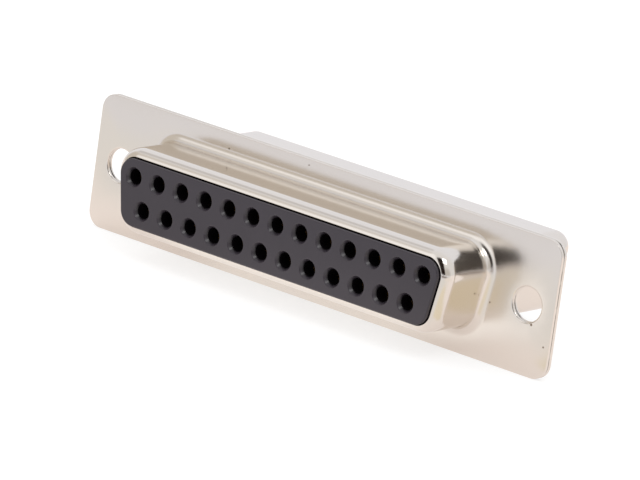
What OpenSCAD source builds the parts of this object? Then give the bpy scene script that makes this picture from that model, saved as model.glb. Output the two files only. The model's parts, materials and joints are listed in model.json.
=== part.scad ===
// D-sub socket connector with a socket face at both ends.
// Two drawn steel shells meet back to back at their flanges. Each holds a moulded insulator,
// and every contact is one turned socket that runs through both insulators.
// X is the long axis, +Z the wide side of the D, and the front face looks along -Y.
// The origin lies on the front face of the flange, midway between the two mounting holes.

/* [Contacts] */
// Contacts in the long row, the short row has one fewer
long_row = 13; // [5:1:19]
// Distance between neighbouring contacts of a row
pitch = 2.77; // [2.6:0.01:3.2]
// Distance between the two rows
row_gap = 2.84; // [2.7:0.01:3.2]
// Outer diameter of a contact's barrel
barrel_d = 1.7; // [1.5:0.05:1.9]
// Diameter of the hole in the barrel that takes a pin
pin_bore_d = 1.04; // [0.8:0.02:1.2]
// Depth of the pin hole from each end of the contact
pin_bore_depth = 4.4; // [3:0.1:4.8]
// Width of the slot that lets the barrel spring
slot_w = 0.22; // [0.15:0.01:0.4]
// Length of that slot from each end
slot_length = 3.4; // [2:0.1:4]
// Diameter of the collar halfway along a contact
collar_d = 2.1; // [2:0.05:2.3]
// Length of the collar
collar_length = 1; // [0.6:0.1:1.6]

/* [Insulators] */
// Diameter of the hole that a pin enters
entry_d = 1.34; // [1.1:0.02:1.5]
// Diameter of the countersink at the face
countersink_d = 1.84; // [1.6:0.02:2.2]
// Depth of the countersink
countersink_depth = 0.35; // [0.2:0.05:0.6]
// Length of the entry hole under the countersink
entry_length = 1.3; // [0.3:0.05:1.5]
// How far the face stands out of the shell's lip
face_stand = 0.36; // [0.1:0.02:0.6]
// Height of the collar that is held in the bend between the shell's wall and flange
collar_h = 0.4; // [0.2:0.05:0.6]
// Clearance round the insulator inside its shell, its bend and its lip
fit_gap = 0.1; // [0.03:0.01:0.14]
// Clearance round a contact in its cavity
cavity_gap = 0.06; // [0.03:0.01:0.1]

/* [Front shell] */
// Height of the D
shell_h = 7.8; // [7.4:0.05:8.6]
// Last contact of the long row to the sharp corner of the D
end_margin = 2.94; // [2.7:0.02:3.4]
// Corner radius of the D
corner_r = 2.3; // [1.8:0.05:2.6]
// Depth from the flange to where the nose begins
wall_depth = 4.7; // [3.8:0.1:6]
// Radius of the rounded nose
nose_r = 1.35; // [1.2:0.05:1.7]
// How far the lip reaches in from the outer wall
lip_inset = 0.75; // [0.55:0.01:0.8]

/* [Rear shell] */
// Height of the D
rear_shell_h = 7.4; // [7.1:0.05:8]
// Last contact of the long row to the sharp corner of the D
rear_end_margin = 2.38; // [2.34:0.02:2.9]
// Corner radius of the D
rear_corner_r = 1.5; // [1.3:0.05:1.9]
// Depth from the flange to where the nose begins
rear_wall_depth = 10.5; // [7:0.1:12]
// Radius of the rounded nose
rear_nose_r = 1.2; // [0.9:0.05:1.3]
// How far the lip reaches in from the outer wall
rear_lip_inset = 0.6; // [0.5:0.01:0.65]

/* [Shell metal] */
// Thickness of the sheet
sheet_t = 0.36; // [0.28:0.02:0.42]
// Slant of the D's short sides, in degrees
side_slant = 10; // [8:1:12]
// Radius of the bend between the wall and the flange
root_r = 0.85; // [0.5:0.05:1.1]

/* [Flange] */
// Height of the flange
flange_h = 12.5; // [12:0.05:14]
// Corner radius of the flange
flange_corner_r = 1.5; // [0.6:0.1:3]
// Sharp corner of the front D to the centre of the mounting hole
hole_offset = 3.96; // [3.6:0.02:6]
// Centre of the mounting hole to the end of the flange
hole_to_end = 2.98; // [2.6:0.02:5]
// Diameter of the mounting holes
hole_d = 3.1; // [2.6:0.05:3.4]
// Radius rolled on the mounting hole's outer edge
rim_r = 0.18; // [0.05:0.01:0.25]
// Bevel on the sheet's edges where the two flanges meet, which leaves a fine groove between them
edge_break = 0.09; // [0.08:0.01:0.1]

/* [Hidden] */
$fn = 64;
// Cuts run this far past the faces that they open
over = 1;
// Straight runs of the D stand this much proud of its corner arcs, and the arcs turn this many
// degrees further at each end, so that the pieces overlap where they would only touch
proud = 0.004;
lap = 0.5;
// The bend is drawn this much low, so that it crosses the flange's faces instead of just touching them
sink = 0.008;
bend_h = sheet_t + root_r - sink;
// The section's flat part reaches this far past the D. The flange is opened inside it, a step less
// along the straight runs than round the corners
flat_reach = 1.5 * root_r;
opening_reach = 1.3 * root_r;
opening_step = 0.15 * root_r;

short_row = long_row - 1;
contact_count = long_row + short_row;
row_reach = (long_row - 1) * pitch / 2;
mounting_pitch = 2 * (row_reach + end_margin + hole_offset);
flange_w = mounting_pitch + 2 * hole_to_end;

// How far the inner face of the bend lies outside the D at the top of the collar, less the clearance
collar_reach = root_r - sqrt(pow(root_r + sheet_t, 2) - pow(root_r + sheet_t - collar_h, 2)) - fit_gap;

// A shell's sizes: [half width at the wide side, height, corner radius, wall depth, nose radius, lip inset]
FRONT = [row_reach + end_margin, shell_h, corner_r, wall_depth, nose_r, lip_inset];
REAR = [row_reach + rear_end_margin, rear_shell_h, rear_corner_r, rear_wall_depth, rear_nose_r, rear_lip_inset];

// Both shells and both insulators are drawn alike: z = 0 is the plane where they meet
// and z grows towards the shell's own lip.
function radius(shell) = shell[2];
function nose_start(shell) = sheet_t + shell[3];
// The section's flat part starts between the two lines where the bend crosses the flange's faces
function flat_start(shell) = radius(shell) + root_r - sqrt(2 * sink * (root_r + sheet_t / 2));
function lip_top(shell) = nose_start(shell) + sqrt(pow(shell[4], 2) - pow(shell[4] - shell[5], 2));
function face_top(shell) = lip_top(shell) + face_stand;
function cavity_top(shell) = face_top(shell) - countersink_depth - entry_length;
function barrel_tip(shell) = cavity_top(shell) - cavity_gap;

// Centres of the four corner arcs of a D, anticlockwise from the lower left
function corner_centres(shell) =
    let (
        r = radius(shell),
        y = shell[1] / 2 - r,
        // A slanted side lies 1 / cos(slant) radii from the centre, measured along X
        top = shell[0] - r * (tan(side_slant) + 1 / cos(side_slant)),
        bottom = top - 2 * y * tan(side_slant)
    )
    [[-bottom, -y], [bottom, -y], [top, y], [-top, y]];

function heading(a, b) = atan2(b[1] - a[1], b[0] - a[0]);

// Contacts are numbered as seen from the front: the long row from the right, then the short row
function contact_at(k) =
    k <= long_row
    ? [row_reach - (k - 1) * pitch, row_gap / 2]
    : [row_reach - (k - long_row - 0.5) * pitch, -row_gap / 2];

function contact_name(k) = str("contact_", k < 10 ? "0" : "", k);

// The D as a flat outline, grown outwards by grow. Its straight runs lie side outside its corner arcs
module d_outline(shell, grow = 0, side = proud) {
    centres = corner_centres(shell);
    r = radius(shell) + grow;
    for (c = centres) translate(c) circle(r);
    polygon([
        for (i = [0 : 3], run = [-1, 0])
            let (
                at = centres[i],
                out = heading(centres[(i + run + 4) % 4], centres[(i + run + 5) % 4]) - 90
            )
            at + (r + side) * [cos(out), sin(out)]
    ]);
}

// Carries a profile round the D: its X is the distance out from the corner centres, its Y is height.
// The first child is turned round the corners, the second is drawn along the straight runs.
module around_d(shell) {
    centres = corner_centres(shell);
    for (i = [0 : 3]) {
        before = centres[(i + 3) % 4];
        here = centres[i];
        next = centres[(i + 1) % 4];
        turn = (heading(here, next) - heading(before, here) + 360) % 360;
        translate(here)
            rotate(heading(before, here) - 90 - lap)
            rotate_extrude(angle = turn + 2 * lap) children(0);
        translate(next)
            rotate(heading(here, next) - 90)
            rotate([90, 0, 0])
            linear_extrude(norm(next - here)) children(1);
    }
}

// A quarter of a ring between two radii, in the quadrant that side names
module quarter_ring(inner, outer, side) {
    intersection() {
        difference() {
            circle(outer);
            circle(inner);
        }
        translate([side < 0 ? -outer : 0, side < 0 ? -outer : 0]) square(outer);
    }
}

// Section through the drawn sheet: flange, bend, wall and the nose up to the edge of its lip,
// thickened by grow on both sides except on the flange's flat faces
module sheet_profile(shell, grow = 0) {
    r = radius(shell);
    nose = shell[4];
    translate([flat_start(shell), 0]) square([r + flat_reach - flat_start(shell), sheet_t]);
    intersection() {
        translate([r + root_r, bend_h]) quarter_ring(root_r - grow, root_r + sheet_t + grow, -1);
        translate([r - sheet_t - grow, 0]) square([root_r + sheet_t + grow, bend_h]);
    }
    translate([r - sheet_t - grow, bend_h]) square([sheet_t + 2 * grow, nose_start(shell) - bend_h]);
    intersection() {
        translate([r - nose, nose_start(shell)]) quarter_ring(nose - sheet_t - grow, nose + grow, 1);
        translate([r - shell[5] - grow, nose_start(shell)]) square([shell[5] + 2 * grow, nose]);
    }
}

// The rolled edge that is taken off a mounting hole on the sheet's outer face
module rolled_rim() {
    translate([0, 0, sheet_t])
        rotate_extrude()
        translate([hole_d / 2, 0])
        difference() {
            translate([-rim_r, -rim_r]) square([2 * rim_r, 2 * rim_r]);
            translate([rim_r, -rim_r]) circle(rim_r);
        }
}

// A bar of the sheet, w across and l long, with its lower long edges bevelled
module bevelled_bar(w, l) {
    rotate([90, 0, 0])
        linear_extrude(l, center = true)
        polygon([
            [-w / 2 + edge_break, 0], [w / 2 - edge_break, 0], [w / 2, edge_break],
            [w / 2, sheet_t], [-w / 2, sheet_t], [-w / 2, edge_break]
        ]);
}

module flange(shell) {
    straight_w = flange_w - 2 * flange_corner_r;
    straight_h = flange_h - 2 * flange_corner_r;
    difference() {
        union() {
            bevelled_bar(flange_w, straight_h);
            rotate(90) bevelled_bar(flange_h, straight_w);
            for (x = [-1, 1], y = [-1, 1]) translate([x * straight_w / 2, y * straight_h / 2]) {
                cylinder(r1 = flange_corner_r - edge_break, r2 = flange_corner_r, h = edge_break);
                translate([0, 0, edge_break]) cylinder(r = flange_corner_r, h = sheet_t - edge_break);
            }
        }
        translate([0, 0, -over]) linear_extrude(sheet_t + 2 * over) d_outline(shell, opening_reach, -opening_step);
    }
}

module drawn_shell(shell) {
    difference() {
        union() {
            flange(shell);
            around_d(shell) {
                sheet_profile(shell);
                sheet_profile(shell, proud);
            }
        }
        for (x = [-1, 1]) translate([x * mounting_pitch / 2, 0, 0]) {
            translate([0, 0, -over]) cylinder(d = hole_d, h = sheet_t + 2 * over);
            cylinder(d1 = hole_d + 2 * edge_break, d2 = hole_d, h = edge_break);
            rolled_rim();
        }
    }
}

// What a contact and its pin need in an insulator
module contact_cavity(shell) {
    translate([0, 0, -over]) cylinder(d = barrel_d + 2 * cavity_gap, h = cavity_top(shell) + over);
    translate([0, 0, -over]) cylinder(d = collar_d + 2 * cavity_gap, h = collar_length / 2 + over);
    cylinder(d = entry_d, h = face_top(shell) + over);
    translate([0, 0, face_top(shell) - countersink_depth])
        cylinder(d1 = entry_d, d2 = countersink_d, h = countersink_depth);
}

module insulator(shell) {
    difference() {
        union() {
            linear_extrude(nose_start(shell)) d_outline(shell, -sheet_t - fit_gap);
            linear_extrude(face_top(shell)) d_outline(shell, -shell[5] - fit_gap);
            linear_extrude(collar_h) d_outline(shell, collar_reach);
        }
        for (k = [1 : contact_count]) translate(contact_at(k)) contact_cavity(shell);
    }
}

// One end of a contact, from the middle of its collar to its tip
module contact_end(tip) {
    difference() {
        union() {
            cylinder(d = barrel_d, h = tip);
            cylinder(d = collar_d, h = collar_length / 2);
        }
        translate([0, 0, tip - pin_bore_depth]) cylinder(d = pin_bore_d, h = pin_bore_depth + over);
        translate([-barrel_d, -slot_w / 2, tip - slot_length]) cube([2 * barrel_d, slot_w, slot_length + over]);
    }
}

// Stands the drawing up, so that its z looks along -Y and its y looks up
module front_half() {
    translate([0, sheet_t, 0]) rotate([90, 0, 0]) children();
}

module rear_half() {
    translate([0, sheet_t, 0]) mirror([0, 1, 0]) rotate([90, 0, 0]) children();
}

module front_shell() {
    color("#DAD4CB") front_half() drawn_shell(FRONT);
}

module rear_shell() {
    color("#CFCAC6") rear_half() drawn_shell(REAR);
}

module front_insulator() {
    color("#4A474D") front_half() insulator(FRONT);
}

module rear_insulator() {
    color("#434046") rear_half() insulator(REAR);
}

module contact(k) {
    color("#D8B45A") {
        front_half() translate(contact_at(k)) contact_end(barrel_tip(FRONT));
        rear_half() translate(contact_at(k)) contact_end(barrel_tip(REAR));
    }
}

front_shell();
rear_shell();
front_insulator();
rear_insulator();
for (k = [1 : contact_count]) {
    contact(k);
}
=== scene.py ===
import json
import math
import bmesh
import bpy
import numpy as np
from mathutils import Matrix, Vector, geometry


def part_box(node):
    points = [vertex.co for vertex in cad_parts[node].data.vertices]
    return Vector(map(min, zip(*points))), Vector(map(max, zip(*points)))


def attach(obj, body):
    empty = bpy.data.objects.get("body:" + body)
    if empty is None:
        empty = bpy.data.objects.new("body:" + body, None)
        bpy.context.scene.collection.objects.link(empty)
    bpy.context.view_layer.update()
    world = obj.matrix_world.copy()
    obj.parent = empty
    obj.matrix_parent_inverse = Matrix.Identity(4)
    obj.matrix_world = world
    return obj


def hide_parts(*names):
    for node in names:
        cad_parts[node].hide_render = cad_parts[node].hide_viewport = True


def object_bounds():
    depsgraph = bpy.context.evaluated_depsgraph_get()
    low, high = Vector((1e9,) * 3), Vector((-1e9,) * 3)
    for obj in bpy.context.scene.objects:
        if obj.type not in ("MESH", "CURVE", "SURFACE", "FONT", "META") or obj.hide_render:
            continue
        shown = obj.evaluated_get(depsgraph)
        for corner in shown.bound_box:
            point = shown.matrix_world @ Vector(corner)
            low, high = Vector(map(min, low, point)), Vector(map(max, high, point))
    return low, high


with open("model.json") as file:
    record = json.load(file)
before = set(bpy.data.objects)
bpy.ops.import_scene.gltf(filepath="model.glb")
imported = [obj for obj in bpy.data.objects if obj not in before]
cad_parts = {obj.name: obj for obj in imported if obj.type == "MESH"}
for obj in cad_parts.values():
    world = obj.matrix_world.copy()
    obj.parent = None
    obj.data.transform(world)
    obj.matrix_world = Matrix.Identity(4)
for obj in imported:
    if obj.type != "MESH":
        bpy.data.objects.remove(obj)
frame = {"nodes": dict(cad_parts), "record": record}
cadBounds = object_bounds()
nodes = frame["nodes"]
mounts = {m["name"]: m for m in frame["record"]["mounts"]}
mm = 0.001    # every length below is in millimetres, and a mesh is written in metres
print("frame loaded:", len(nodes), "nodes")


# sRGB to linear: the low end is a straight line, the rest a power of 2.4
def hexLinear(text):
    srgb = np.array([int(text[i:i + 2], 16) for i in (1, 3, 5)]) / 255
    linear = np.where(srgb <= 0.04045, srgb / 12.92, ((srgb + 0.055) / 1.055) ** 2.4)
    return (*linear.tolist(), 1.0)


# Unit vector by azimuth from straight in front towards +X, and elevation: (sin a cos e, -cos a cos e, sin e)
def direction(at):
    azimuth, elevation = math.radians(at[0]), math.radians(at[1])
    return Vector((
        math.sin(azimuth) * math.cos(elevation),
        -math.cos(azimuth) * math.cos(elevation),
        math.sin(elevation),
    ))


def addObject(name, data):
    added = bpy.data.objects.new(name, data)
    bpy.context.scene.collection.objects.link(added)
    return added


# Adds a node, sets its properties and its sockets' values, and links what is given as a socket. An
# input is given by its name, with _ for a space, or by its number after a _
def addNode(tree, kind, settings=None, **sockets):
    node = tree.nodes.new("ShaderNode" + kind)
    for name, value in (settings or {}).items():
        setattr(node, name, value)
    for name, value in sockets.items():
        slot = node.inputs[int(name[1:]) if name[1:].isdigit() else name.replace("_", " ")]
        if isinstance(value, bpy.types.NodeSocket):
            tree.links.new(value, slot)
        else:
            slot.default_value = value
    return node


smooth = {"interpolation_type": "SMOOTHSTEP"}
colourMix = {"data_type": "RGBA"}
dotProduct = {"operation": "DOT_PRODUCT"}


# Lays a colour over another where a measure has gone from start, where it isn't there, to full
def layOver(tree, under, colour, measure, start, full):
    mask = addNode(tree, "MapRange", smooth, Value=measure, From_Min=start, From_Max=full)
    over = (*colour[:3], 1.0)
    return addNode(tree, "Mix", colourMix, Factor=mask.outputs[0], _6=under, _7=over).outputs[2]


def newMaterial(name):
    material = bpy.data.materials.new(name)
    material.use_nodes = True
    material.node_tree.nodes.clear()
    return material, material.node_tree


# Points of an arc, by centre, radius and two angles in degrees: centre + radius * (cos, sin)
def arc(x, y, radius, start, end, steps):
    angles = np.radians(np.linspace(start, end, steps + 1))
    return np.stack([x + radius * np.cos(angles), y + radius * np.sin(angles)], axis=-1)


# A straight run of points from a to b, without its ends
def run(a, b, steps):
    return np.linspace(a, b, steps + 1)[1:-1]


# Rounds a corner: points of the parabola that leaves a towards the corner and arrives at b
def rounded(a, corner, b, steps=5):
    t = np.linspace(0, 1, steps + 1)[:, None]
    return (1 - t) ** 2 * np.array(a) + 2 * t * (1 - t) * np.array(corner) + t ** 2 * np.array(b)


# A loop is where a profile is carried, as centres and outward normals in the XZ plane. Corner arcs keep
# their centre while the normal turns, and along a side the centre slides from one corner's to the next
# while the normal stays
def cornerLoop(corners, arcSteps, spacing):
    centres, normals = [], []
    count = len(corners)
    sides = [corners[(i + 1) % count] - corners[i] for i in range(count)]
    outward = [math.degrees(math.atan2(side[1], side[0])) - 90 for side in sides]
    for i in range(count):
        turn = (outward[i] - outward[i - 1]) % 360
        angles = np.radians(np.linspace(outward[i - 1], outward[i - 1] + turn, arcSteps + 1))
        centres.append(np.tile(corners[i], (arcSteps + 1, 1)))
        normals.append(np.stack([np.cos(angles), np.sin(angles)], axis=-1))
        steps = max(2, round(np.linalg.norm(sides[i]) / spacing))
        centres.append(run(corners[i], corners[(i + 1) % count], steps))
        normals.append(np.tile(normals[-1][-1], (steps - 1, 1)))
    return np.concatenate(centres), np.concatenate(normals)


# The D: its slanted side lies radius / cos(slant) from the corner's centre, measured along X
def dLoop(d):
    radius = d["cornerRadius"]
    slant = math.radians(d["slant"])
    z = d["height"] / 2 - radius
    top = d["halfWidth"] - radius * (math.tan(slant) + 1 / math.cos(slant))
    bottom = top - 2 * z * math.tan(slant)
    corners = np.array([(-bottom, -z), (bottom, -z), (top, z), (-top, z)])
    return cornerLoop(corners, arcSteps=20, spacing=0.7)


# A rectangle whose corners' centres lie one radius inside both sides
def rectangleLoop(width, height, radius):
    x, z = width / 2 - radius, height / 2 - radius
    return cornerLoop(np.array([(-x, -z), (x, -z), (x, z), (-x, z)]), arcSteps=12, spacing=1.5)


# A circle is one centre with the normal turning right round
def circleLoop(centre, steps):
    angles = np.linspace(0, 2 * math.pi, steps, endpoint=False)
    return np.tile(centre, (steps, 1)), np.stack([np.cos(angles), np.sin(angles)], axis=-1)


# A loop's outline at one reach: centre + normal * reach
def ringOf(loop, reach):
    centres, normals = loop
    return centres + normals * reach


# A surface is its vertices and faces. This is a profile of (reach, depth) carried round a loop:
# point = centre + normal * reach, at that depth
def sweep(loop, profile):
    centres, normals = loop
    flat = centres[:, None, :] + normals[:, None, :] * profile[None, :, :1]
    depth = np.broadcast_to(profile[None, :, 1:], (*flat.shape[:2], 1))
    rows, columns = flat.shape[:2]
    i = np.arange(rows)[:, None] * columns
    j = np.arange(columns - 1)[None, :]
    following = (i + columns) % (rows * columns)
    faces = np.stack([i + j, i + j + 1, following + j + 1, following + j], axis=-1).reshape(-1, 4)
    return np.concatenate([flat, depth], axis=-1).reshape(-1, 3), faces


# A flat face between an outline and its holes, as triangles on the loops' own points. Every hole is
# convex, so a triangle lies in one exactly when its three corners are all that hole's own
def flatFace(outline, holes, depth):
    loops = [outline, *holes]
    points = [Vector(p) for p in np.concatenate(loops)]
    starts = np.cumsum([0] + [len(loop) for loop in loops])
    edges = [(s + i, s + (i + 1) % len(loop)) for s, loop in zip(starts, loops) for i in range(len(loop))]
    insideOnly, samePoint = 1, 1e-9
    found = geometry.delaunay_2d_cdt(points, edges, [], insideOnly, samePoint)
    flat = np.array([tuple(v) for v in found[0]])
    owner = np.repeat(np.arange(len(loops)), [len(loop) for loop in loops])[[v[0] for v in found[3]]]
    triangles = np.array(found[2])
    owners = owner[triangles]
    inHole = (owners[:, 0] > 0) & (owners == owners[:, :1]).all(axis=1)
    return np.column_stack([flat, np.full(len(flat), depth)]), triangles[~inHole]


# Joins surfaces into one closed piece. Depth grows from start, along +Y for side 1 and -Y for side -1
def makePiece(name, surfaces, side, start, sharpAngle=35, mergeWithin=1e-7):
    vertices, polygons, offset = [], [], 0
    for points, faces in surfaces:
        vertices.append(np.stack([points[:, 0], start + side * points[:, 2], points[:, 1]], axis=-1) * mm)
        polygons += (faces + offset).tolist()
        offset += len(points)
    mesh = bpy.data.meshes.new(name)
    mesh.from_pydata(np.concatenate(vertices), [], polygons)
    solid = bmesh.new()
    solid.from_mesh(mesh)
    bmesh.ops.remove_doubles(solid, verts=solid.verts, dist=mergeWithin)
    bmesh.ops.recalc_face_normals(solid, faces=solid.faces)
    openEdges = sum(len(edge.link_faces) != 2 for edge in solid.edges)
    print(name, len(solid.faces), "faces, open edges", openEdges)
    solid.to_mesh(mesh)
    solid.free()
    mesh.polygons.foreach_set("use_smooth", np.ones(len(mesh.polygons), bool))
    mesh.set_sharp_from_angle(angle=math.radians(sharpAngle))
    return addObject(name, mesh)


camera = dict(
    distance=567.2, azimuth=37.81, elevation=14.43, roll=7.95,
    aim=(0.26, 0, -0.54),
    lens=361.87, sensor=36,
    clipStart=0.01,      # in metres
)


def setCamera(c):
    away = direction((c["azimuth"], c["elevation"]))
    data = bpy.data.cameras.new("camera")
    data.sensor_width = c["sensor"]
    data.lens = c["lens"]
    data.clip_start = c["clipStart"]
    viewer = addObject("camera", data)
    turn = (-away).to_track_quat("-Z", "Y").to_matrix() @ Matrix.Rotation(math.radians(c["roll"]), 3, "Z")
    viewer.matrix_world = Matrix.Translation((Vector(c["aim"]) + away * c["distance"]) * mm) @ turn.to_4x4()
    bpy.context.scene.camera = viewer


setCamera(camera)
bpy.context.scene.view_settings.view_transform = "Standard"
print("camera set")


flange = dict(
    sheet=0.36,
    cornerRadius=1.5,
    edgeRound=0.05,      # softened outer edge of the sheet
    edgeBreak=0.09,      # bevel where the two sheets meet, which leaves the dark groove between them
    rimRadius=0.18,      # rolled edge of the mounting holes
    rimSteps=72,         # points round a mounting hole
    flatStart=0.06,      # strip of flat sheet beside the bend, which keeps the bend's shading off the flat
    flatEnd=0.3,         # where the section goes over into the flat face
)
frontShell = dict(
    halfWidth=19.56, height=7.8, cornerRadius=2.3, slant=10,
    wall=4.7,            # flange to the start of the nose
    nose=1.35,           # radius of the nose
    lip=0.75,            # how far the nose turns in
    lipRound=0.07,       # rounded edge of the lip
    lipCut=0.6,          # share of the nose's last step that is left before this rounding
    bend=0.85,           # radius at the foot of the wall
)
rearShell = dict(
    halfWidth=19.0, height=7.4, cornerRadius=1.5, slant=10,
    wall=10.5, nose=1.2, lip=0.6, lipRound=0.07, lipCut=0.6, bend=0.85,
)

shellLow, shellHigh = (np.array(corner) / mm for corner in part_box("front_shell"))
flangeWidth, flangeHeight = shellHigh[0] - shellLow[0], shellHigh[2] - shellLow[2]
holeAt = mounts["mounting_holes"]["dims"]["spacing_x_mm"] / 2
holeRadius = mounts["mounting_holes"]["dims"]["hole_r_mm"]
partingPlane = shellHigh[1]


# The angle at which an arc of the nose, inset from its radius, reaches the lip's edge
def noseTurn(shell, inset):
    return math.degrees(math.acos((shell["nose"] - shell["lip"]) / (shell["nose"] - inset)))


# The sheet's section, outside from the flange up over the nose and back down the inside. Depth is
# counted from the parting plane, so the flange's outer face lies one sheet above it
def sheetSection(shell, plate):
    radius, bend, nose, sheet = shell["cornerRadius"], shell["bend"], shell["nose"], plate["sheet"]
    foot, start, cut = sheet + bend, sheet + shell["wall"], shell["lipCut"]
    out = arc(radius - nose, start, nose, 0, noseTurn(shell, 0), steps=16)
    back = arc(radius - nose, start, nose - sheet, noseTurn(shell, sheet), 0, steps=12)
    edge = np.array([radius - shell["lip"], out[-1, 1]])
    flatEnd, flatStart = radius + bend + plate["flatEnd"], radius + bend + plate["flatStart"]
    return np.concatenate([
        [(flatEnd, sheet), (flatStart, sheet)],
        arc(radius + bend, foot, bend, 270, 180, steps=14),
        run((radius, foot), (radius, start), steps=10),
        out[:-1],
        rounded(out[-2] * (1 - cut) + out[-1] * cut, edge, edge - (0, shell["lipRound"])),
        back,
        run((radius - sheet, start), (radius - sheet, foot), steps=10),
        arc(radius + bend, foot, bend + sheet, 180, 270, steps=14),
        [(flatStart, 0), (flatEnd, 0)],
    ])


def makeShell(name, shell, plate, side):
    sheet, edge, bevel = plate["sheet"], plate["edgeRound"], plate["edgeBreak"]
    corner, rim = plate["cornerRadius"], plate["rimRadius"]
    section = sheetSection(shell, plate)
    sheetEdge = np.concatenate([
        arc(corner - edge, sheet - edge, edge, 90, 0, steps=4),
        [(corner, bevel), (corner - bevel, 0)],
    ])
    holeEdge = np.concatenate([
        arc(holeRadius + rim, sheet - rim, rim, 90, 180, steps=8),
        [(holeRadius, bevel), (holeRadius + bevel, 0)],
    ])
    body = dLoop(shell)
    outline = rectangleLoop(flangeWidth, flangeHeight, corner)
    holes = [circleLoop((x, 0), plate["rimSteps"]) for x in (-holeAt, holeAt)]
    surfaces = [sweep(body, section), sweep(outline, sheetEdge)]
    for end, depth in ((0, sheet), (-1, 0)):
        openings = [ringOf(body, section[end, 0])] + [ringOf(hole, holeEdge[end, 0]) for hole in holes]
        surfaces.append(flatFace(ringOf(outline, sheetEdge[end, 0]), openings, depth))
    surfaces += [sweep(hole, holeEdge) for hole in holes]
    return makePiece(name, surfaces, side, partingPlane)


frontPiece = makeShell("frontShell", frontShell, flange, -1)
rearPiece = makeShell("rearShell", rearShell, flange, 1)
print("shells made")


insulator = dict(
    gap=0.1,             # round the moulding, inside the shell and its lip
    stand=0.36,          # how far the face stands out of the lip
    edgeRound=0.14,      # rounded edge of the face
    edgeStrip=0.03,      # flat strip inside it, which keeps the shading of the face flat
    collar=0.4,          # height of the collar in the bend
    countersink=0.92, countersinkDepth=0.35,      # radius at the face
    entry=0.67, entryLength=1.3,                  # radius and length of the straight entry
    mouthRound=0.05,     # softened edges of the countersink
    mouthStrip=0.02,     # flat strip round it
    cavity=0.91,         # radius round the contact
    seat=1.11, seatDepth=0.5,                     # the wider seat of the contact's collar
    holeSteps=40,        # points round a hole
)


def makeInsulator(name, shell, plate, mould, side):
    radius, bend, nose, sheet = shell["cornerRadius"], shell["bend"], shell["nose"], plate["sheet"]
    edge, collar, soft = mould["edgeRound"], mould["collar"], mould["mouthRound"]
    start = sheet + shell["wall"]
    face = start + nose * math.sin(math.radians(noseTurn(shell, 0))) + mould["stand"]
    out = radius - shell["lip"] - mould["gap"]
    inner = radius - sheet - mould["gap"]
    bell = bend + sheet
    collarOut = radius + bend - math.sqrt(bell ** 2 - (bell - collar) ** 2) - mould["gap"]
    wall = np.concatenate([
        [(out - edge - mould["edgeStrip"], face)],
        arc(out - edge, face - edge, edge, 90, 0, steps=8),
        [(out, start), (inner, start), (inner, collar), (collarOut, collar), (collarOut, 0)],
    ])
    mouth = np.array([mould["countersink"], face])
    throat = np.array([mould["entry"], face - mould["countersinkDepth"]])
    slope = (throat - mouth) / math.hypot(*(throat - mouth))
    entryEnd = throat[1] - mould["entryLength"]
    hole = np.concatenate([
        [(mouth[0] + soft + mould["mouthStrip"], face)],
        rounded(mouth + (soft, 0), mouth, mouth + slope * soft, steps=4),
        rounded(throat - slope * soft, throat, throat - (0, soft), steps=3),
        [(mould["entry"], entryEnd), (mould["cavity"], entryEnd)],
        [(mould["cavity"], mould["seatDepth"]), (mould["seat"], mould["seatDepth"]), (mould["seat"], 0)],
    ])
    body = dLoop(shell)
    centres = [sum(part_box(n), Vector()) / 2 / mm for n in sorted(nodes) if n.startswith("contact")]
    holes = [circleLoop((c.x, c.z), mould["holeSteps"]) for c in centres]
    surfaces = [sweep(body, wall)] + [sweep(loop, hole) for loop in holes]
    for end, depth in ((0, face), (-1, 0)):
        openings = [ringOf(loop, hole[end, 0]) for loop in holes]
        surfaces.append(flatFace(ringOf(body, wall[end, 0]), openings, depth))
    return makePiece(name, surfaces, side, partingPlane)


frontMould = makeInsulator("frontInsulator", frontShell, flange, insulator, -1)
rearMould = makeInsulator("rearInsulator", rearShell, flange, insulator, 1)
print("insulators made")


# Bright tin over cold rolled steel, tumbled after drawing: warm grey, semi-gloss, slightly wavy
# reflections and a fine grain
tin = dict(
    colour="#EAE3DA", cool="#E6E1DB",
    patch=6.0,           # size of the cooler patches
    drawn=0.12,          # roughness of the walls, which the die has burnished
    rolled=0.21,         # roughness of the flange, still as rolled
    drawnFrom=1.3, rolledTo=0.5,         # distance from the parting plane where each is full
    wave=4.0, waveHeight=0.004,
    grain=0.12, grainHeight=0.0018,
    seam="#4A3C30",      # the unlit groove between the two sheets
    seamReach=0.08,      # how far from the parting plane it shows
    seamBreaks=1.6,      # length of its broken stretches
    seamFrom=0.35, seamFull=0.55,        # level of the noise where it starts and is full
    speck="#7A6854",     # pinholes and nicks in the plating of the front flange, as x, z and radius
    specks=(
        (19.6, -0.9, 0.11), (25.9, -3.2, 0.12), (-11.3, 4.8, 0.12), (-2.1, 5.7, 0.10), (24.3, -1.62, 0.16),
    ),
)


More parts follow.
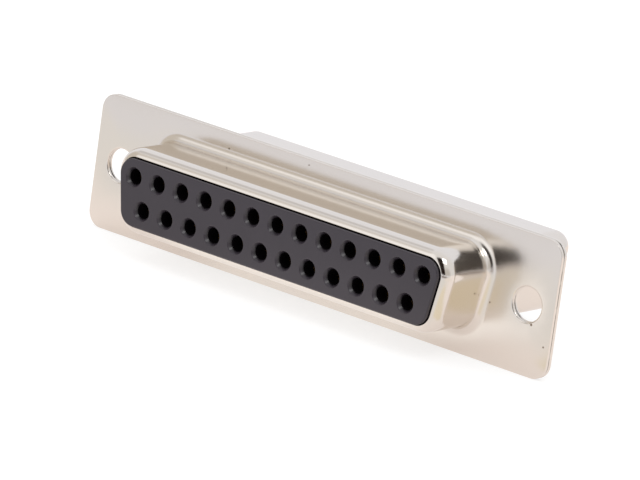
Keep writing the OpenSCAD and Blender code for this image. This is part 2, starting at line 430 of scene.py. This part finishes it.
def tinPlate(name, look):
    material, tree = newMaterial(name)
    place = addNode(tree, "TexCoord").outputs["Object"]
    patches = addNode(tree, "TexNoise", Vector=place, Scale=1 / (look["patch"] * mm), Detail=3.0)
    colour = addNode(tree, "Mix", colourMix, Factor=patches.outputs["Fac"],
                     _6=hexLinear(look["colour"]), _7=hexLinear(look["cool"]))
    depth = addNode(tree, "SeparateXYZ", Vector=place).outputs["Y"]
    beyond = addNode(tree, "Math", {"operation": "SUBTRACT"}, _0=depth, _1=partingPlane * mm).outputs[0]
    fromParting = addNode(tree, "Math", {"operation": "ABSOLUTE"}, _0=beyond).outputs[0]
    flat = addNode(tree, "MapRange", smooth, Value=fromParting,
                   From_Min=look["drawnFrom"] * mm, From_Max=look["rolledTo"] * mm)
    gloss = addNode(tree, "MapRange", Value=flat.outputs[0], To_Min=look["drawn"], To_Max=look["rolled"])
    # The seam shows where it is both close to the parting plane and in one of its stretches
    breaks = addNode(tree, "TexNoise", Vector=place, Scale=1 / (look["seamBreaks"] * mm), Detail=2.0)
    close = addNode(tree, "MapRange", smooth, Value=fromParting,
                    From_Min=look["seamReach"] * mm, From_Max=0.0)
    stretch = addNode(tree, "MapRange", smooth, Value=breaks.outputs["Fac"],
                      From_Min=look["seamFrom"], From_Max=look["seamFull"])
    seam = addNode(tree, "Math", {"operation": "MULTIPLY"}, _0=close.outputs[0], _1=stretch.outputs[0])
    shaded = addNode(tree, "Mix", colourMix, Factor=seam.outputs[0],
                     _6=colour.outputs[2], _7=hexLinear(look["seam"])).outputs[2]
    # Each speck is full in its inner third
    for x, z, radius in look["specks"]:
        away = addNode(tree, "VectorMath", {"operation": "DISTANCE"}, _0=place, _1=(x * mm, 0, z * mm))
        shaded = layOver(tree, shaded, hexLinear(look["speck"]), away.outputs["Value"],
                         radius * mm, radius * mm / 3)
    wave = addNode(tree, "TexNoise", Vector=place, Scale=1 / (look["wave"] * mm), Detail=1.0)
    waved = addNode(tree, "Bump", Height=wave.outputs["Fac"], Distance=look["waveHeight"] * mm)
    grain = addNode(tree, "TexNoise", Vector=place, Scale=1 / (look["grain"] * mm), Detail=2.0)
    grained = addNode(tree, "Bump", Height=grain.outputs["Fac"], Normal=waved.outputs["Normal"],
                      Distance=look["grainHeight"] * mm)
    shader = addNode(tree, "BsdfPrincipled", Base_Color=shaded, Metallic=1.0,
                     Roughness=gloss.outputs["Result"], Normal=grained.outputs["Normal"])
    addNode(tree, "OutputMaterial", Surface=shader.outputs["BSDF"])
    return material


# Glass filled polyester, moulded: dark grey with a violet cast, satin, with the mould's fine texture
plastic = dict(
    colour="#39333A", dark="#312C33", roughness=0.26,
    flow=3.0,            # size of the darker flow marks
    texture=0.18, textureHeight=0.004,
    shade="#0D0A0D",     # down in the holes, where little light comes
    shadeFrom=0.13, shadeFull=0.37,      # depth under the face where it starts and is full
    sheen=0.5, sheenLow=0.06,            # specular level on the face and down in the holes
    dullFrom=0.33, dullFull=0.42,        # depth where the sheen goes from one to the other
)


def mouldedPolyester(name, look):
    material, tree = newMaterial(name)
    place = addNode(tree, "TexCoord").outputs["Object"]
    flow = addNode(tree, "TexNoise", Vector=place, Scale=1 / (look["flow"] * mm), Detail=4.0)
    colour = addNode(tree, "Mix", colourMix, Factor=flow.outputs["Fac"],
                     _6=hexLinear(look["colour"]), _7=hexLinear(look["dark"]))
    # Depth under the nearer of the two faces: half the length less the distance from the middle
    middle, half = (cadBounds[1].y + cadBounds[0].y) / 2, (cadBounds[1].y - cadBounds[0].y) / 2
    along = addNode(tree, "SeparateXYZ", Vector=place).outputs["Y"]
    beyond = addNode(tree, "Math", {"operation": "SUBTRACT"}, _0=along, _1=middle).outputs[0]
    fromMiddle = addNode(tree, "Math", {"operation": "ABSOLUTE"}, _0=beyond).outputs[0]
    depth = addNode(tree, "Math", {"operation": "SUBTRACT"}, _0=half, _1=fromMiddle).outputs[0]
    shaded = layOver(tree, colour.outputs[2], hexLinear(look["shade"]), depth,
                     look["shadeFrom"] * mm, look["shadeFull"] * mm)
    dull = addNode(tree, "MapRange", smooth, Value=depth,
                   From_Min=look["dullFrom"] * mm, From_Max=look["dullFull"] * mm)
    sheen = addNode(tree, "MapRange", Value=dull.outputs[0], To_Min=look["sheen"], To_Max=look["sheenLow"])
    texture = addNode(tree, "TexNoise", Vector=place, Scale=1 / (look["texture"] * mm), Detail=3.0)
    rough = addNode(tree, "Bump", Height=texture.outputs["Fac"], Distance=look["textureHeight"] * mm)
    shader = addNode(tree, "BsdfPrincipled", Base_Color=shaded, Roughness=look["roughness"],
                     Specular_IOR_Level=sheen.outputs["Result"], Normal=rough.outputs["Normal"])
    addNode(tree, "OutputMaterial", Surface=shader.outputs["BSDF"])
    return material


# Gold flash over nickel on turned brass: yellow metal with fine turning rings along the barrel
gold = dict(
    colour="#C79C58", worn="#A67F46", roughness=0.32,
    ring=0.06,           # length over which the rings' wave turns by one radian
    ringWander=1.0,
)


def goldFlash(name, look):
    material, tree = newMaterial(name)
    place = addNode(tree, "TexCoord").outputs["Object"]
    radiansAUnit = 20    # what the wave node turns by at scale 1
    rings = addNode(tree, "TexWave", {"bands_direction": "Y"}, Vector=place,
                    Scale=1 / (radiansAUnit * look["ring"] * mm), Distortion=look["ringWander"])
    colour = addNode(tree, "Mix", colourMix, Factor=rings.outputs["Fac"],
                     _6=hexLinear(look["colour"]), _7=hexLinear(look["worn"]))
    shader = addNode(tree, "BsdfPrincipled", Base_Color=colour.outputs[2], Metallic=1.0,
                     Roughness=look["roughness"])
    addNode(tree, "OutputMaterial", Surface=shader.outputs["BSDF"])
    return material


def dress(piece, material):
    if not piece.material_slots:
        piece.data.materials.append(None)
    for place in piece.material_slots:
        place.material = material


tinPlated = tinPlate("tinPlatedSteel", tin)
polyester = mouldedPolyester("mouldedPolyester", plastic)
goldContact = goldFlash("goldFlashedBrass", gold)
for piece, stoodFor, slotName, material in (
    (frontPiece, "front_shell", "front_plating", tinPlated),
    (rearPiece, "rear_shell", "rear_plating", tinPlated),
    (frontMould, "front_insulator", "insulator_plastic", polyester),
    (rearMould, "rear_insulator", "insulator_plastic", polyester),
):
    dress(piece, material)
    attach(piece, "root")
    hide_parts(stoodFor)
for nodeName, node in nodes.items():
    if nodeName.startswith("contact"):
        dress(node, goldContact)
print("materials set")


studio = dict(
    floorSize=3000,
    floorDiffuse=0.40,   # share of the floor's white that is lit paper and takes the shadow
    floorGlow=0.66,      # share that glows like a light table
    fillAt=(-70, 40),    # where the soft light comes from, with its strength there and opposite
    fillFull=1.35, fillBack=0.40,
    keyAt=(56, 55),
    keyDistance=700, keySize=260, keyPower=0.6,
)
# Painted reflections, which only the metal sees of the floor: a colour by how far in front it lies, then
# patches laid on it as centre, the radii where each is full and where it ends, and colour
floorSeen = dict(
    near=(0.90, 0.83, 0.80), middle=(0.755, 0.74, 0.72), far=(0.74, 0.735, 0.77),
    steps=(2, 20, 40),
)
paintedFloorReflections = [
    dict(at=(0, -8), full=11, end=19, colour=(1.06, 1.02, 1.0)),          # painted light close under the nose, lifting the part's shadow there as the metal sees it
    dict(at=(25.5, -6), full=1.5, end=4, colour=(0.80, 0.72, 0.58)),      # painted tan reflection in front on the right
    dict(at=(27, -10.5), full=2.5, end=5, colour=(0.80, 0.72, 0.58)),     # its far half
    dict(at=(70, -64), full=18, end=46, colour=(0.15, 0.11, 0.08)),       # painted dark reflection at the foot of the dark strip
    dict(at=(52, -14), full=10, end=22, colour=(0.85, 0.78, 0.73)),       # painted pinkish reflection to the right
]

# What the metal mirrors of the room, laid on in this order: centre of each card as azimuth and
# elevation, the angles where it is full and where it ends, and its linear colour
room = dict(colour=(0.84, 0.83, 0.83))
cards = [
    dict(at=(-150, 20), full=40, end=85, colour=(0.89, 0.895, 0.94)),     # backdrop, behind and to the left
    dict(at=(-62, 12), full=27, end=46, colour=(0.65, 0.60, 0.54)),       # unlit left of the room
    dict(at=(-38, 12), full=6, end=15, colour=(0.61, 0.56, 0.505)),       # its darkest part
    dict(at=(60, 0), full=14, end=36, colour=(0.60, 0.57, 0.54)),         # dim low right
    dict(at=(-12, 18), full=8, end=20, colour=(1.12, 1.11, 1.12)),        # front softbox
    dict(at=(-36, 40), full=9, end=20, colour=(1.08, 1.07, 1.08)),        # its upper half
    dict(at=(-94, 50), full=2, end=11, colour=(0.64, 0.62, 0.62)),        # edge of the left reflector
]
# A dark upright thing in the room, as a strip between two directions
darkStrip = dict(
    top=(8, 60), bottom=(36, -12),
    full=12.5, end=18,                   # angles to either side where it is full and where it ends
    endsPast=0.12, fullBefore=0.08,      # radians past its two directions and before them, the same way
    colour=(0.012, 0.005, 0.002),
)


def makeFloor(s):
    half = s["floorSize"] / 2 * mm
    low = cadBounds[0].z
    corners = [(-half, -half, low), (half, -half, low), (half, half, low), (-half, half, low)]
    mesh = bpy.data.meshes.new("floor")
    mesh.from_pydata(corners, [], [(0, 1, 2, 3)])
    floor = addObject("floor", mesh)
    material, tree = newMaterial("floorPaper")
    place = addNode(tree, "TexCoord").outputs["Object"]
    along = addNode(tree, "SeparateXYZ", Vector=place).outputs["Y"]
    ahead = addNode(tree, "Math", {"operation": "MULTIPLY"}, _0=along, _1=-1.0).outputs[0]
    # Painted reflections: tints and patches that only the metal sees, laid on the floor
    steps = [step * mm for step in floorSeen["steps"]]
    tinted = layOver(tree, (*floorSeen["near"], 1.0), floorSeen["middle"], ahead, *steps[:2])
    tinted = layOver(tree, tinted, floorSeen["far"], ahead, *steps[1:])
    for patch in paintedFloorReflections:
        at = (patch["at"][0] * mm, patch["at"][1] * mm, low)
        away = addNode(tree, "VectorMath", {"operation": "DISTANCE"}, _0=place, _1=at).outputs["Value"]
        tinted = layOver(tree, tinted, patch["colour"], away, patch["end"] * mm, patch["full"] * mm)
    # Seen directly, the floor is white all over
    direct = addNode(tree, "LightPath").outputs["Is Camera Ray"]
    shown = addNode(tree, "Mix", colourMix, Factor=direct, _6=tinted, _7=(1.0, 1.0, 1.0, 1.0)).outputs[2]
    paper = addNode(tree, "BsdfDiffuse", Color=shown)
    glow = addNode(tree, "Emission", Color=shown, Strength=s["floorGlow"])
    lit = addNode(tree, "MixShader", _0=s["floorDiffuse"], _2=paper.outputs[0])
    both = addNode(tree, "AddShader", _0=lit.outputs[0], _1=glow.outputs[0])
    addNode(tree, "OutputMaterial", Surface=both.outputs[0])
    dress(floor, material)


def setWorld(s):
    world = bpy.data.worlds.new("studio")
    bpy.context.scene.world = world
    world.use_nodes = True
    tree = world.node_tree
    tree.nodes.clear()
    view = addNode(tree, "TexCoord").outputs["Generated"]
    mirrored = (*room["colour"], 1.0)
    # The measure of a card is the cosine of the angle from its centre
    for card in cards:
        centre = tuple(direction(card["at"]))
        cosine = addNode(tree, "VectorMath", dotProduct, _0=view, _1=centre).outputs["Value"]
        ends = [math.cos(math.radians(card[key])) for key in ("end", "full")]
        mirrored = layOver(tree, mirrored, card["colour"], cosine, *ends)
    # The strip lies along the great circle through its two directions, and stops just past them
    top, bottom = direction(darkStrip["top"]), direction(darkStrip["bottom"])
    pole, middle, half = top.cross(bottom).normalized(), (top + bottom).normalized(), top.angle(bottom) / 2
    toPole = addNode(tree, "VectorMath", dotProduct, _0=view, _1=tuple(pole)).outputs["Value"]
    across = addNode(tree, "Math", {"operation": "ABSOLUTE"}, _0=toPole).outputs[0]
    along = addNode(tree, "VectorMath", dotProduct, _0=view, _1=tuple(middle)).outputs["Value"]
    narrow = addNode(tree, "MapRange", smooth, Value=across,
                     From_Min=math.sin(math.radians(darkStrip["end"])),
                     From_Max=math.sin(math.radians(darkStrip["full"])))
    short = addNode(tree, "MapRange", smooth, Value=along,
                    From_Min=math.cos(half + darkStrip["endsPast"]),
                    From_Max=math.cos(half - darkStrip["fullBefore"]))
    strip = addNode(tree, "Math", {"operation": "MULTIPLY"}, _0=narrow.outputs[0], _1=short.outputs[0])
    mirrored = addNode(tree, "Mix", colourMix, Factor=strip.outputs[0],
                       _6=mirrored, _7=(*darkStrip["colour"], 1.0)).outputs[2]
    # Glossy rays see the cards, other rays the soft fill, and the camera plain white
    path = addNode(tree, "LightPath")
    glossy = addNode(tree, "Background", Color=mirrored, Strength=1.0)
    source = tuple(direction(s["fillAt"]))
    towards = addNode(tree, "VectorMath", dotProduct, _0=view, _1=source).outputs["Value"]
    soft = addNode(tree, "MapRange", Value=towards, From_Min=-1.0, From_Max=1.0,
                   To_Min=s["fillBack"], To_Max=s["fillFull"])
    fill = addNode(tree, "Background", Color=(1, 1, 1, 1), Strength=soft.outputs["Result"])
    white = addNode(tree, "Background", Color=(1, 1, 1, 1), Strength=1.0)
    lit = addNode(tree, "MixShader", _0=path.outputs["Is Glossy Ray"],
                  _1=fill.outputs[0], _2=glossy.outputs[0])
    final = addNode(tree, "MixShader", _0=path.outputs["Is Camera Ray"],
                    _1=lit.outputs[0], _2=white.outputs[0])
    addNode(tree, "OutputWorld", Surface=final.outputs[0])


def makeKey(s):
    data = bpy.data.lights.new("keySoftbox", "AREA")
    data.size = s["keySize"] * mm
    data.energy = s["keyPower"]
    key = addObject("keySoftbox", data)
    away = direction(s["keyAt"])
    turn = (-away).to_track_quat("-Z", "Y").to_matrix().to_4x4()
    key.matrix_world = Matrix.Translation(away * s["keyDistance"] * mm) @ turn


makeFloor(studio)
setWorld(studio)
makeKey(studio)
print("studio set")
